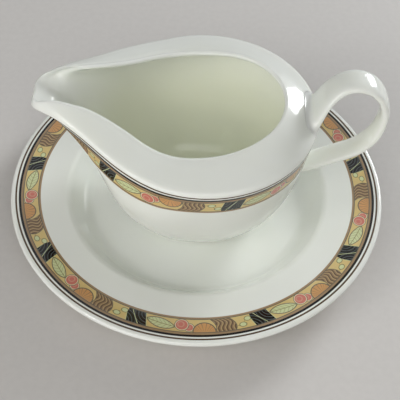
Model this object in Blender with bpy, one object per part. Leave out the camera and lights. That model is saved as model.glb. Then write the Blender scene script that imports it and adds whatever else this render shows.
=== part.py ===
"""Gravy boat on a round stand, in glazed china.

Metres, +Z up. The stand's foot rests on Z = 0 and the stand's axis is the Z axis. The boat
stands in the well with its spout toward -X and its strap handle toward +X.
"""
import math

import bpy
import numpy as np

# Clearance between two pieces that touch.
CLEARANCE = 0.0003

# Stand: a turned plate with a flat flange, a round well and a foot ring.
STAND_RADIUS = 0.105
STAND_HEIGHT = 0.021
STAND_THICKNESS = 0.0032
FLANGE_FALL = 0.0022
SHOULDER_RADIUS = 0.0727
SHOULDER_ROUND = 0.0060
WELL_RADIUS = 0.0628
WELL_ROUND = 0.0095
WELL_FLOOR = 0.0070
STAND_FOOT_RADIUS = 0.0580
STAND_FOOT_WIDTH = 0.0042
STAND_FOOT_HEIGHT = 0.0032

# Boat outline at the shoulder edge: a large arc round the bowl, a small one round the spout's
# tip and a long shallow one along each flank. The flank swells a little behind the spout and
# is pinched a little before it, and the tip's two corners stand out from its arc.
BOWL_CENTRE_X = 0.0028
BOWL_RADIUS = 0.0592
SPOUT_REACH = 0.0865
SPOUT_TIP_RADIUS = 0.0180
FLANK_RADIUS = 0.5900
FLANK_WAVE = 0.0007
FLANK_WAVE_START = 0.0120
FLANK_WAVE_LENGTH = 0.0500
TIP_CORNER = 0.0012

# Heights above the table.
EDGE_HEIGHT = 0.0821
EDGE_SPOUT_RISE = 0.0115
EDGE_RISE_START = -0.0160
EDGE_RISE_LENGTH = 0.0700
EDGE_TIP_DROOP = 0.0050
CREST_LOW = 0.0863
CREST_LOW_X = -0.0120
CREST_REAR = 0.0910
CREST_SPOUT = 0.0959
CREST_TIP_DROOP = 0.0059
DROOP_LENGTH = 0.0185

# Sloping collar between the shoulder edge and the mouth, measured square to the outline.
COLLAR_SIDE = 0.0200
COLLAR_SIDE_X = 0.0080
COLLAR_REAR = 0.0170
COLLAR_FLANK = 0.0163
COLLAR_FLANK_X = -0.0420
COLLAR_TIP = 0.0016
COLLAR_CROWN = 0.0005

# Walls and edges.
WALL = 0.0028
LIP_ROUND = 0.0014
EDGE_ROUND = 0.0018

# Belly and foot of the boat. Fullness rounds the wall out above the foot; lean lets it slope
# evenly up to the shoulder edge. Both change round the boat.
FOOT_CENTRE_X = 0.0028
FOOT_HALF_LENGTH = 0.0334
FOOT_HALF_WIDTH = 0.0309
FOOT_HEIGHT = 0.0020
FOOT_WIDTH = 0.0040
REAR_FULLNESS = 4.0
SIDE_FULLNESS = 3.5
SPOUT_FULLNESS = 2.5
REAR_LEAN = 0.44
SIDE_LEAN = 0.42
FLANK_LEAN = -0.2
TIP_LEAN = 0.88
FLANK_ANGLE = math.radians(130)
FLOOR_THICKNESS = 0.0032

# Pouring lip: near its top the spout's front flares outward, and the wall rolls over into the
# edge with no lip of its own. Flare is the share of the reach that comes in the last rise.
TIP_FLARE = 0.195
FLARE_POWER = 24.0
FLARE_START = -0.0680
FLARE_LENGTH = 0.0190
ROLL_START = -0.0660
ROLL_LENGTH = 0.0160

# Strap handle: how far its centre line stands out behind the bowl, how far it rises above the
# shoulder edge, and how far below that edge it meets the bowl again.
HANDLE_REACH = 0.0336
HANDLE_RISE = 0.0240
HANDLE_DROP = 0.0375
HANDLE_WIDTH_ROOT = 0.0240
HANDLE_WIDTH_TOP = 0.0164
HANDLE_WIDTH_LOW = 0.0130
HANDLE_THICKNESS = 0.0048
HANDLE_ROOT_THICKNESS = 0.0064

# Facets.
STAND_SIDES = 72
REAR_STEPS = 17
FLANK_STEPS = 6
TIP_STEPS = 7
HANDLE_STEPS = 30
HANDLE_SIDES = 12
OUTER_LEVELS = (0.02, 0.06, 0.12, 0.20, 0.30, 0.41, 0.53, 0.65, 0.76, 0.85, 0.91, 0.95, 0.98, 1.0)
INNER_LEVELS = (0.91, 0.86, 0.79, 0.70, 0.60, 0.49, 0.37, 0.26, 0.17, 0.10)


def ease(value):
    """Smooth step from 0 to 1."""
    value = np.clip(value, 0.0, 1.0)
    return value * value * (3.0 - 2.0 * value)


def curve_through(stations, count):
    """Points at even steps along a smooth curve through the stations."""
    points = np.array(stations, dtype=float)
    padded = np.vstack([2 * points[0] - points[1], points, 2 * points[-1] - points[-2]])
    out = []
    for span in range(len(points) - 1):
        a, b, c, d = padded[span:span + 4]
        for t in np.linspace(0.0, 1.0, 24, endpoint=False):
            out.append(0.5 * (2 * b + (c - a) * t + (2 * a - 5 * b + 4 * c - d) * t**2
                              + (3 * b - a - 3 * c + d) * t**3))
    out.append(points[-1])
    out = np.array(out)
    run = np.concatenate([[0.0], np.cumsum(np.linalg.norm(np.diff(out, axis=0), axis=1))])
    even = np.linspace(0.0, run[-1], count)
    return np.stack([np.interp(even, run, out[:, k]) for k in range(out.shape[1])], axis=1)


def half_outline():
    """Shoulder edge from the rear round the +Y side to the spout's tip, with outward normals."""
    tip_centre = SPOUT_TIP_RADIUS - SPOUT_REACH
    between = BOWL_CENTRE_X - tip_centre
    to_bowl = FLANK_RADIUS - BOWL_RADIUS
    to_tip = FLANK_RADIUS - SPOUT_TIP_RADIUS
    along = (to_bowl**2 - to_tip**2 + between**2) / (2 * between)
    flank_x = BOWL_CENTRE_X - along
    flank_y = -math.sqrt(to_bowl**2 - along**2)
    leave = math.atan2(-flank_y, BOWL_CENTRE_X - flank_x)
    arrive = math.atan2(-flank_y, tip_centre - flank_x)
    arcs = (
        (BOWL_CENTRE_X, 0.0, BOWL_RADIUS, 0.0, leave, REAR_STEPS),
        (flank_x, flank_y, FLANK_RADIUS, leave, arrive, FLANK_STEPS),
        (tip_centre, 0.0, SPOUT_TIP_RADIUS, arrive, math.pi, TIP_STEPS),
    )
    points = []
    normals = []
    for centre_x, centre_y, radius, start, stop, steps in arcs:
        for angle in np.linspace(start, stop, steps, endpoint=False):
            points.append((centre_x + radius * math.cos(angle), centre_y + radius * math.sin(angle)))
            normals.append((math.cos(angle), math.sin(angle)))
    points.append((-SPOUT_REACH, 0.0))
    normals.append((-1.0, 0.0))
    points = np.array(points)
    normals = np.array(normals)
    phase = (points[:, 0] + SPOUT_REACH - FLANK_WAVE_START) / FLANK_WAVE_LENGTH
    swell = -FLANK_WAVE * np.sin(2 * math.pi * np.clip(phase, -0.25, 1.0))
    swell *= ease((points[:, 0] + SPOUT_REACH) / FLANK_WAVE_START * 2.0)
    facing = np.arctan2(normals[:, 1], normals[:, 0])
    corner = np.clip((facing - arrive) / (math.pi - arrive), 0.0, 1.0)
    swell += TIP_CORNER * np.sin(math.pi * corner)**2
    points = points + normals * swell[:, None]
    return points, normals


def whole_outline():
    """The shoulder edge all the way round, counter-clockwise seen from above."""
    points, normals = half_outline()
    flip = np.array([1.0, -1.0])
    points = np.vstack([points, (points * flip)[-2:0:-1]])
    normals = np.vstack([normals, (normals * flip)[-2:0:-1]])
    return points, normals


def droop(x):
    """Share of the tip's droop at lengthwise position x."""
    back = DROOP_LENGTH - SPOUT_REACH
    return np.clip((back - x) / DROOP_LENGTH, 0.0, 1.2)**2


def edge_height(x):
    rise = EDGE_SPOUT_RISE * ease((EDGE_RISE_START - x) / EDGE_RISE_LENGTH)
    return EDGE_HEIGHT + rise - EDGE_TIP_DROOP * droop(x)


def crest_height(x):
    mouth_rear_x = BOWL_CENTRE_X + BOWL_RADIUS - COLLAR_REAR
    peak_x = DROOP_LENGTH - SPOUT_REACH
    rear = (CREST_REAR - CREST_LOW) * ease((x - CREST_LOW_X) / (mouth_rear_x - CREST_LOW_X))
    front = (CREST_SPOUT - CREST_LOW) * ease((CREST_LOW_X - x) / (CREST_LOW_X - peak_x))
    return CREST_LOW + rear + front - CREST_TIP_DROOP * droop(x)


def collar_lines(points, normals):
    """Height of the shoulder edge, height of the crest and width of the collar between them."""
    width = collar_width(points[:, 0])
    crest_x = points[:, 0] - normals[:, 0] * width
    return edge_height(points[:, 0]), crest_height(crest_x), width


def collar_width(x):
    """Width of the collar where the shoulder edge lies at x."""
    rear_x = BOWL_CENTRE_X + BOWL_RADIUS
    behind = np.clip((x - COLLAR_SIDE_X) / (rear_x - COLLAR_SIDE_X), 0.0, 1.0)
    width = COLLAR_SIDE - (COLLAR_SIDE - COLLAR_REAR) * behind**2
    ahead = ease((COLLAR_SIDE_X - x) / (COLLAR_SIDE_X - COLLAR_FLANK_X))
    width = width - (COLLAR_SIDE - COLLAR_FLANK) * ahead
    tip = np.clip((COLLAR_FLANK_X - x) / (COLLAR_FLANK_X + SPOUT_REACH), 0.0, 1.0)
    return width - (COLLAR_FLANK - COLLAR_TIP) * tip**1.5


def belly_base():
    """Height at which the belly springs from the foot."""
    return WELL_FLOOR + CLEARANCE + FOOT_HEIGHT


def round_boat(angle, rear, side, flank, tip):
    """Value that changes smoothly from rear to side to flank to the spout's tip."""
    turn = np.abs(angle)
    value = rear + (side - rear) * ease(turn / (0.5 * math.pi))
    value = value + (flank - side) * ease((turn - 0.5 * math.pi) / (FLANK_ANGLE - 0.5 * math.pi))
    return value + (tip - flank) * ease((turn - FLANK_ANGLE) / (math.pi - FLANK_ANGLE))


def wall_top(x):
    """Height at which the wall ends and the rounded shoulder edge begins."""
    return edge_height(x) - edge_inset(collar_width(x))


def belly(points, level, grow=0.0):
    """Outer surface of the belly: level 0 at the foot, 1 at the shoulder edge."""
    angle = np.arctan2(points[:, 1], points[:, 0] - BOWL_CENTRE_X)
    fullness = round_boat(angle, REAR_FULLNESS, SIDE_FULLNESS, SPOUT_FULLNESS, SPOUT_FULLNESS)
    lean = round_boat(angle, REAR_LEAN, SIDE_LEAN, FLANK_LEAN, TIP_LEAN)
    spread = (1.0 - lean) * (1.0 - (1.0 - level)**fullness) + lean * level
    flare = TIP_FLARE * ease((FLARE_START - points[:, 0]) / FLARE_LENGTH)
    spread = (1.0 - flare) * spread + flare * level**FLARE_POWER
    foot_x = FOOT_CENTRE_X + FOOT_HALF_LENGTH * np.cos(angle)
    foot_y = FOOT_HALF_WIDTH * np.sin(angle)
    top = wall_top(points[:, 0])
    x = foot_x + (points[:, 0] - foot_x) * spread
    y = foot_y + (points[:, 1] - foot_y) * spread
    z = belly_base() + (top - belly_base()) * level
    surface = np.stack([x, y, z], axis=1)
    if grow == 0.0:
        return surface
    return surface + grow * belly_normals(points, level)


def belly_normals(points, level):
    """Outward normals of the belly, from small steps along and up the surface."""
    step = 0.01
    high = min(level + step, 1.0)
    low = max(level - step, 0.0)
    up = belly(points, high) - belly(points, low)
    ring = belly(points, level)
    if level < step:
        ring = belly(points, step)
    around = np.roll(ring, -1, axis=0) - np.roll(ring, 1, axis=0)
    normal = np.cross(around, up)
    return normal / np.linalg.norm(normal, axis=1)[:, None]


def collar_ring(points, normals, inward, lift):
    """Ring at a distance inside the shoulder edge, at the heights given."""
    flat = points - normals * inward[:, None]
    return np.column_stack([flat, lift])


def edge_inset(width):
    """How far the rounded shoulder edge reaches onto the collar, less where that is narrow."""
    return np.minimum(EDGE_ROUND, 0.35 * width)


def collar_top(points, normals, share):
    """Upper face of the collar: share 0 beside the shoulder edge, 1 at the crest."""
    low, high, width = collar_lines(points, normals)
    start = edge_inset(width)
    inward = start + (width - start) * share
    crown = COLLAR_CROWN * 4 * share * (1 - share)
    return collar_ring(points, normals, inward, low + (high - low) * inward / width + crown)


def foot_ring(points, inset, height):
    """Oval ring inside the foot's outline."""
    angle = np.arctan2(points[:, 1], points[:, 0] - BOWL_CENTRE_X)
    x = FOOT_CENTRE_X + (FOOT_HALF_LENGTH - inset) * np.cos(angle)
    y = (FOOT_HALF_WIDTH - inset) * np.sin(angle)
    return np.column_stack([x, y, np.full(len(x), height)])


def body_rings():
    """All rings of the boat, from the middle of the underside out, over the lip and in."""
    points, normals = whole_outline()
    edge, crest, width = collar_lines(points, normals)
    base = belly_base()
    rest = WELL_FLOOR + CLEARANCE
    rings = [
        foot_ring(points, FOOT_HALF_WIDTH * 0.6, base - 0.0003),
        foot_ring(points, FOOT_WIDTH + 0.0012, base - 0.0003),
        foot_ring(points, FOOT_WIDTH + 0.0004, base - 0.0010),
        foot_ring(points, FOOT_WIDTH, rest),
        foot_ring(points, 0.0014, rest),
        foot_ring(points, 0.0006, rest + 0.0006),
        foot_ring(points, 0.0004, base - 0.0006),
    ]
    for level in OUTER_LEVELS:
        rings.append(belly(points, level))
    nip = 0.3 * edge_inset(width)
    rings.append(collar_ring(points, normals, nip, edge - nip))
    for share in (0.0, 0.35, 0.68):
        rings.append(collar_top(points, normals, share))
    before = np.minimum(0.7 * LIP_ROUND, 0.2 * width)
    rings.append(collar_ring(points, normals, width - before, crest - 0.35 * before))
    rings.append(collar_ring(points, normals, width, crest))
    over = [
        collar_ring(points, normals, width + 0.75 * LIP_ROUND, crest - 0.35 * LIP_ROUND),
        collar_ring(points, normals, width + LIP_ROUND, crest - LIP_ROUND),
        collar_ring(points, normals, width + 0.7 * LIP_ROUND, crest - 1.75 * LIP_ROUND),
    ]
    narrow = np.clip(1.5 - 0.5 * width / WALL, 0.0, 1.0)
    for share, start, depth in ((0.95, 0.0, 1.06), (0.5, 0.0, 1.06), (0.0, 0.3 * EDGE_ROUND, 1.25)):
        inward = WALL + start + np.maximum(width - WALL, 0.0) * share
        rise = (crest - edge) * np.minimum(inward / width, 1.0)
        sink = WALL * (depth + 0.8 * (1.0 - share) * narrow)
        over.append(collar_ring(points, normals, inward, edge + rise - sink))
    roll = ease((ROLL_START - points[:, 0]) / ROLL_LENGTH)[:, None]
    for ring, level in zip(over, (0.985, 0.975, 0.966, 0.957, 0.948, 0.939)):
        rings.append(ring + roll * (belly(points, level, -WALL) - ring))
    for level in INNER_LEVELS:
        rings.append(belly(points, level, -WALL))
    floor = base + FLOOR_THICKNESS
    rings.append(foot_ring(points, 0.0010, floor + 0.0016))
    rings.append(foot_ring(points, 0.0060, floor + 0.0003))
    rings.append(foot_ring(points, 0.0160, floor))
    return rings


def mesh_object(name, rings):
    """Closed mesh through rings that run from the inside of the underside outward and over."""
    count = len(rings[0])
    vertices = [tuple(v) for ring in rings for v in ring]
    start = len(vertices)
    vertices.append(tuple(np.mean(rings[0], axis=0)))
    vertices.append(tuple(np.mean(rings[-1], axis=0)))
    faces = []
    for step in range(len(rings) - 1):
        low = step * count
        high = low + count
        for k in range(count):
            after = (k + 1) % count
            faces.append((low + k, low + after, high + after, high + k))
    last = (len(rings) - 1) * count
    for k in range(count):
        after = (k + 1) % count
        faces.append((start, after, k))
        faces.append((start + 1, last + k, last + after))
    mesh = bpy.data.meshes.new(name)
    mesh.from_pydata(vertices, [], faces)
    mesh.validate()
    mesh.shade_smooth()
    mesh.set_sharp_from_angle(angle=math.radians(50))
    thing = bpy.data.objects.new(name, mesh)
    bpy.context.collection.objects.link(thing)
    return thing


def round_corner(before, corner, after, radius, steps):
    """Points of an arc that rounds one corner of a profile."""
    corner = np.array(corner)
    back = np.array(before) - corner
    ahead = np.array(after) - corner
    back = back / np.linalg.norm(back)
    ahead = ahead / np.linalg.norm(ahead)
    half = 0.5 * math.acos(float(np.dot(back, ahead)))
    reach = radius / math.tan(half)
    middle = back + ahead
    centre = corner + middle / np.linalg.norm(middle) * radius / math.sin(half)
    first = corner + back * reach - centre
    last = corner + ahead * reach - centre
    turn = math.atan2(first[0] * last[1] - first[1] * last[0], float(np.dot(first, last)))
    out = []
    for angle in np.linspace(0.0, turn, steps):
        c, s = math.cos(angle), math.sin(angle)
        out.append((centre[0] + c * first[0] - s * first[1], centre[1] + s * first[0] + c * first[1]))
    return out


def stand_profile():
    """Half section of the stand, from the middle of the underside round the rim to the middle."""
    shoulder_z = STAND_HEIGHT - FLANGE_FALL
    thick = STAND_THICKNESS
    top = [
        (0.0, WELL_FLOOR),
        (WELL_RADIUS, WELL_FLOOR),
        (SHOULDER_RADIUS, shoulder_z),
        (STAND_RADIUS, STAND_HEIGHT),
    ]
    slope = math.atan2(shoulder_z - WELL_FLOOR, SHOULDER_RADIUS - WELL_RADIUS)
    shift = thick * math.tan(slope / 2)
    under_floor = WELL_FLOOR - thick - 0.0006
    under = [
        (0.0, under_floor),
        (WELL_RADIUS + shift, under_floor),
        (SHOULDER_RADIUS + shift, shoulder_z - thick),
        (STAND_RADIUS, STAND_HEIGHT - thick),
    ]
    out = [(0.012, STAND_FOOT_HEIGHT)]
    inner_foot = STAND_FOOT_RADIUS - STAND_FOOT_WIDTH
    out.append((inner_foot - 0.0014, STAND_FOOT_HEIGHT))
    out.append((inner_foot - 0.0002, STAND_FOOT_HEIGHT - 0.0010))
    out.append((inner_foot + 0.0004, 0.0))
    out.append((STAND_FOOT_RADIUS - 0.0012, 0.0))
    out.append((STAND_FOOT_RADIUS - 0.0002, 0.0009))
    beside_foot = (STAND_FOOT_RADIUS + 0.0006, under_floor)
    out.append(beside_foot)
    out += round_corner(beside_foot, under[1], under[2], 0.5 * WELL_ROUND, 4)
    out += round_corner(under[1], under[2], under[3], SHOULDER_ROUND, 4)
    half = 0.5 * thick
    rim = (STAND_RADIUS - half, STAND_HEIGHT - half)
    for angle in np.linspace(-math.radians(80), math.radians(95), 6):
        out.append((rim[0] + half * math.cos(angle), rim[1] + half * math.sin(angle)))
    out += round_corner(top[3], top[2], top[1], SHOULDER_ROUND, 5)
    out += round_corner(top[2], top[1], top[0], WELL_ROUND, 6)
    out.append((0.030, WELL_FLOOR))
    out.append((0.012, WELL_FLOOR))
    return out


def turned(name, profile, sides):
    """Closed solid of revolution about Z."""
    angles = np.linspace(0.0, 2 * math.pi, sides, endpoint=False)
    rings = []
    for radius, height in profile:
        rings.append(np.column_stack([radius * np.cos(angles), radius * np.sin(angles),
                                      np.full(sides, height)]))
    return mesh_object(name, rings)


def handle_path():
    """Centre line of the strap in the XZ plane, from inside the collar to inside the bowl."""
    rear_x = BOWL_CENTRE_X + BOWL_RADIUS
    shape = (
        (-0.090, -0.060), (-0.020, 0.190), (0.113, 0.620), (0.306, 0.920), (0.530, 1.000),
        (0.768, 0.870), (0.946, 0.510), (1.000, 0.040), (0.917, -0.336), (0.680, -0.616),
        (0.351, -0.790), (0.054, -0.928), (-0.280, -1.060),
    )
    stations = []
    for out, up in shape:
        reach = HANDLE_RISE if up > 0 else HANDLE_DROP
        stations.append((rear_x + HANDLE_REACH * out, EDGE_HEIGHT + reach * up))
    return curve_through(stations, HANDLE_STEPS + 1)


def handle_rings():
    path = handle_path()
    ahead = np.gradient(path, axis=0)
    ahead = ahead / np.linalg.norm(ahead, axis=1)[:, None]
    rings = []
    for step, (centre, along) in enumerate(zip(path, ahead)):
        share = step / HANDLE_STEPS
        width = HANDLE_WIDTH_TOP + (HANDLE_WIDTH_LOW - HANDLE_WIDTH_TOP) * ease(share * 1.25)
        width = width + (HANDLE_WIDTH_ROOT - HANDLE_WIDTH_TOP) * (1.0 - ease(share * 4.0))
        root = ease(1.0 - min(share, 1.0 - share) * 8.0)
        thick = HANDLE_THICKNESS + (HANDLE_ROOT_THICKNESS - HANDLE_THICKNESS) * root
        side = np.array([-along[1], along[0]])
        ring = []
        for k in range(HANDLE_SIDES):
            angle = 2 * math.pi * k / HANDLE_SIDES
            c, s = math.cos(angle), math.sin(angle)
            across = 0.5 * width * math.copysign(abs(c)**0.75, c)
            out = 0.5 * thick * math.copysign(abs(s)**0.75, s)
            ring.append((centre[0] + side[0] * out, across, centre[1] + side[1] * out))
        rings.append(np.array(ring))
    return rings


def body_envelope(grow):
    """Solid outer form of the boat, larger all round by the clearance, to trim the handle."""
    points, normals = whole_outline()
    edge = edge_height(points[:, 0])
    rings = [foot_ring(points, 0.0010, WELL_FLOOR + 0.001)]
    for level in OUTER_LEVELS:
        rings.append(belly(points, level, grow))
    nip = 0.3 * edge_inset(collar_width(points[:, 0]))
    rings.append(collar_ring(points, normals, nip - grow * 0.7, edge - nip + grow * 0.7))
    for share in (0.0, 0.35, 0.68, 1.0):
        ring = collar_top(points, normals, share)
        ring[:, 2] += grow * 1.1
        rings.append(ring)
    return mesh_object("envelope", rings)


def china(name, colour, roughness):
    material = bpy.data.materials.new(name)
    material.use_nodes = True
    shader = material.node_tree.nodes["Principled BSDF"]
    shader.inputs["Base Color"].default_value = (*colour, 1.0)
    shader.inputs["Roughness"].default_value = roughness
    shader.inputs["Metallic"].default_value = 0.0
    return material


def main():
    for old in list(bpy.data.objects):
        bpy.data.objects.remove(old, do_unlink=True)

    stand = turned("stand_plate", stand_profile(), STAND_SIDES)
    stand.data.materials.append(china("stand_china", (0.80, 0.79, 0.76), 0.12))

    boat = bpy.data.objects.new("boat", None)
    bpy.context.collection.objects.link(boat)

    body = mesh_object("boat_body", body_rings())
    body.data.materials.append(china("body_china", (0.82, 0.82, 0.80), 0.10))
    body.parent = boat

    handle = mesh_object("boat_handle", handle_rings())
    handle.data.materials.append(china("handle_china", (0.82, 0.82, 0.79), 0.10))
    handle.parent = boat

    envelope = body_envelope(CLEARANCE)
    envelope.hide_render = True
    envelope.display_type = 'WIRE'
    envelope.parent = boat
    trim = handle.modifiers.new("trim", 'BOOLEAN')
    trim.operation = 'DIFFERENCE'
    trim.solver = 'EXACT'
    trim.object = envelope


main()
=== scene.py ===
"""Gravy boat on its round stand, in glazed china with a printed border.

Metres, +Z up. The boat's spout points toward -X and its strap handle toward +X.
"""
import math

import bpy
import numpy as np
from mathutils import Matrix, Vector
from mathutils.bvhtree import BVHTree


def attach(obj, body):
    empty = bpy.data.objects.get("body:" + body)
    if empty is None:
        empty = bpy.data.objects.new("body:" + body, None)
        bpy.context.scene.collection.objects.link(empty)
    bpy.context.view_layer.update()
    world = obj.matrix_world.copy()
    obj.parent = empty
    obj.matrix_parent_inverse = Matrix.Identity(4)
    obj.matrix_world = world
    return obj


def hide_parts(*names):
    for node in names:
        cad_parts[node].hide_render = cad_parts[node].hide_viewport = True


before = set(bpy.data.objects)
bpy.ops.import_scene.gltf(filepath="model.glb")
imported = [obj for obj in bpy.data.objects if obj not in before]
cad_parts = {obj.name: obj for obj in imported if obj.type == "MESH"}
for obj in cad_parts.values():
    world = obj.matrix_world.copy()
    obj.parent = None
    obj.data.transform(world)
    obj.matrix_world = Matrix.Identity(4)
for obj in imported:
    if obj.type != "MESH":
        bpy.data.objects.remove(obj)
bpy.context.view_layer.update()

# Shape of the stand, as the solids have it.
STAND_RADIUS = 0.105
STAND_HEIGHT = 0.021
STAND_THICKNESS = 0.0032
RIM_ARC = (-math.radians(80), math.radians(95))
FLANGE_FALL = 0.0022
SHOULDER_RADIUS = 0.0727
SHOULDER_ROUND = 0.0060
WELL_RADIUS = 0.0628
WELL_ROUND = 0.0095
WELL_FLOOR = 0.0070
WELL_EXTRA_THICKNESS = 0.0006
STAND_FOOT_RADIUS = 0.0580
STAND_FOOT_WIDTH = 0.0042
STAND_FOOT_HEIGHT = 0.0032
STAND_FOOT_ROOT_ROUND = 0.0013
STAND_FOOT_INNER_ROUND = 0.0007
STAND_FOOT_OUTER_ROUND = 0.0012
STAND_FOOT_SPLAY = 0.0006
STAND_FOOT_WAIST_SPLAY = 0.0002
STAND_FOOT_WAIST_HEIGHT = 0.0022

# Shape of the boat, as the solids have it.
CLEARANCE = 0.0003
BOAT_REST = WELL_FLOOR + CLEARANCE
BOWL_CENTRE_X = 0.0028
BOWL_RADIUS = 0.0592
SPOUT_REACH = 0.0865
SPOUT_TIP_RADIUS = 0.0180
FLANK_RADIUS = 0.5900
FLANK_WAVE = 0.0007
FLANK_WAVE_START = 0.0120
FLANK_WAVE_LENGTH = 0.0500
TIP_CORNER = 0.0012
EDGE_HEIGHT = 0.0821
EDGE_SPOUT_RISE = 0.0115
EDGE_RISE_START = -0.0160
EDGE_RISE_LENGTH = 0.0700
EDGE_TIP_DROOP = 0.0050
EDGE_ROUND = 0.0018
EDGE_ROUND_SHARE = 0.35
EDGE_NIP_SHARE = 0.3
CREST_LOW = 0.0863
CREST_LOW_X = -0.0120
CREST_REAR = 0.0910
CREST_SPOUT = 0.0959
CREST_TIP_DROOP = 0.0059
DROOP_LENGTH = 0.0185
DROOP_LIMIT = 1.2
COLLAR_SIDE = 0.0200
COLLAR_SIDE_X = 0.0080
COLLAR_REAR = 0.0170
COLLAR_FLANK = 0.0163
COLLAR_FLANK_X = -0.0420
COLLAR_TIP = 0.0016
COLLAR_TIP_POWER = 1.5
COLLAR_CROWN = 0.0005
WALL = 0.0028
FLOOR_THICKNESS = 0.0032
ROLL_START = -0.0660
ROLL_LENGTH = 0.0160

# Lip of the boat: its outer start before the crest, in LIP_ROUND but no more than a share of the
# collar's width, and its slope there. Then the rings inside it, each given by how far past the
# crest and how far below the crest it lies, in LIP_ROUND.
LIP_ROUND = 0.0014
LIP_START = 0.7
LIP_START_SHARE = 0.2
LIP_SLOPE = 0.35
LIP_INSIDE = ((0.75, LIP_SLOPE), (1.0, 1.0), (0.7, 1.75))

# Rings under the collar: share of its width, further inset, and depth below it in walls.
UNDER_COLLAR = ((0.95, 0.0, 1.06), (0.5, 0.0, 1.06), (0.0, 0.3 * EDGE_ROUND, 1.25))
NARROW_COLLAR_SINK = 0.8

# Foot of the boat. The two sections give each ring's inset from the foot's outline with its
# height: the outside from the hidden middle outward, then the inside's floor, above its lowest.
FOOT_CENTRE_X = 0.0028
FOOT_HALF_LENGTH = 0.0334
FOOT_HALF_WIDTH = 0.0309
FOOT_HEIGHT = 0.0020
FOOT_WIDTH = 0.0040
BELLY_BASE = BOAT_REST + FOOT_HEIGHT
UNDERSIDE = BELLY_BASE - 0.0003
FOOT_SECTION = (
    (FOOT_HALF_WIDTH * 0.6, UNDERSIDE),
    (FOOT_WIDTH + 0.0012, UNDERSIDE),
    (FOOT_WIDTH + 0.0004, BELLY_BASE - 0.0010),
    (FOOT_WIDTH, BOAT_REST),
    (0.0014, BOAT_REST),
    (0.0006, BOAT_REST + 0.0006),
    (0.0004, BELLY_BASE - 0.0006),
)
FLOOR_SECTION = ((0.0010, 0.0016), (0.0060, 0.0003), (0.0160, 0.0))

# Side of the belly from foot to edge: fullness bends it outward low down, lean draws it toward
# a straight line, and the flare keeps it back under the spout until near the edge.
REAR_FULLNESS = 4.0
SIDE_FULLNESS = 3.5
SPOUT_FULLNESS = 2.5
REAR_LEAN = 0.44
SIDE_LEAN = 0.42
FLANK_LEAN = -0.2
TIP_LEAN = 0.88
FLANK_ANGLE = math.radians(130)
TIP_FLARE = 0.195
FLARE_POWER = 24.0
FLARE_START = -0.0680
FLARE_LENGTH = 0.0190

# Smoothing that the solids don't have. Low under the spout, the flare starts over a greater
# length and the plan loses its tip corners.
FLARE_WIDEN = 0.0300
BELLY_SOFTNESS = 0.0110
SOFT_ANGLE = math.radians(110)
SOFT_TURN = math.radians(40)
SOFT_DEPTH = 0.35
SOFT_POINTS = 720

# Smoothing of the spout's inside, which the solids don't have either.
EASE_START = -0.0440
EASE_LENGTH = 0.0100
EASE_RINGS = 12.0
EASE_PACE = 0.8
EASE_PASSES = 100

# Shape of the strap handle. Its line goes out from the bowl's rear in HANDLE_REACH, and up from
# the shoulder edge in HANDLE_RISE or down from it in HANDLE_DROP.
HANDLE_REACH = 0.0336
HANDLE_RISE = 0.0240
HANDLE_DROP = 0.0375
HANDLE_LINE = (
    (-0.090, -0.060), (-0.020, 0.190), (0.113, 0.620), (0.306, 0.920), (0.530, 1.000),
    (0.768, 0.870), (0.946, 0.510), (1.000, 0.040), (0.917, -0.336), (0.680, -0.616),
    (0.351, -0.790), (0.054, -0.928), (-0.280, -1.060),
)
HANDLE_WIDTH_ROOT = 0.0240
HANDLE_WIDTH_TOP = 0.0164
HANDLE_WIDTH_LOW = 0.0130
HANDLE_THICKNESS = 0.0048
HANDLE_ROOT_THICKNESS = 0.0064
SECTION_POWER = 0.75
TOP_FILLET = 0.0042
LOW_FILLET = 0.0034
FILLET_SINK = 0.0003
ROOT_SINK = 0.0012

# Each change along the strap takes 1 / this of its length.
TAPER_PACE = 1.25
ROOT_WIDTH_PACE = 4.0
ROOT_THICKNESS_PACE = 8.0

# How far each line of the strap is carried on past its end, in lengths of its last few steps.
CARRY = 1.5
CARRY_STEPS = 8

# Fineness of the meshes. Levels run from 0 at the foot to 1 at the shoulder edge.
STAND_SIDES = 288
STAND_FOOT_STEPS = 6
UNDER_WELL_STEPS = 10
SHOULDER_STEPS = 14
RIM_STEPS = 18
WELL_STEPS = 18
UNDER_RADII = (0.012, 0.040)
FLOOR_RADII = (0.050, 0.034, 0.012)
REAR_STEPS = 80
FLANK_STEPS = 48
TIP_STEPS = 36
OUTER_LEVELS = np.concatenate([[0.02, 0.05, 0.09], np.linspace(0.14, 0.86, 16), np.linspace(0.89, 1.0, 8)])
COLLAR_SHARES = (0.0, 0.2, 0.4, 0.6, 0.76)
ROLLED_LEVELS = (0.985, 0.975, 0.966, 0.957, 0.948, 0.939)
INNER_LEVELS = np.concatenate([[0.91, 0.88], np.linspace(0.84, 0.10, 14)])
RING_PARTS = 4
SLOPE_STEP = 0.01
LEAST_GAP = 1e-7
LEAST_LENGTH = 1e-6
CURVE_STEPS = 24
STRAP_STEPS = 240
STRAP_SIDES = 48
STRAP_RINGS = 150
FILLET_STEPS = 8

# Rings of the boat's foot and lowest belly, where the handle never meets the wall.
RINGS_BELOW_HANDLE = 8


# ---------------------------------------------------------------- forms

def ease(value):
    value = np.clip(value, 0.0, 1.0)
    return value * value * (3.0 - 2.0 * value)


def curve_through(stations, count):
    """Points at even steps along a smooth curve through the stations."""
    points = np.array(stations, dtype=float)
    padded = np.vstack([2 * points[0] - points[1], points, 2 * points[-1] - points[-2]])
    out = []
    for span in range(len(points) - 1):
        a, b, c, d = padded[span:span + 4]
        for t in np.linspace(0.0, 1.0, CURVE_STEPS, endpoint=False):
            out.append(0.5 * (2 * b + (c - a) * t + (2 * a - 5 * b + 4 * c - d) * t**2
                              + (3 * b - a - 3 * c + d) * t**3))
    out.append(points[-1])
    return evenly(np.array(out), count)


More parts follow.
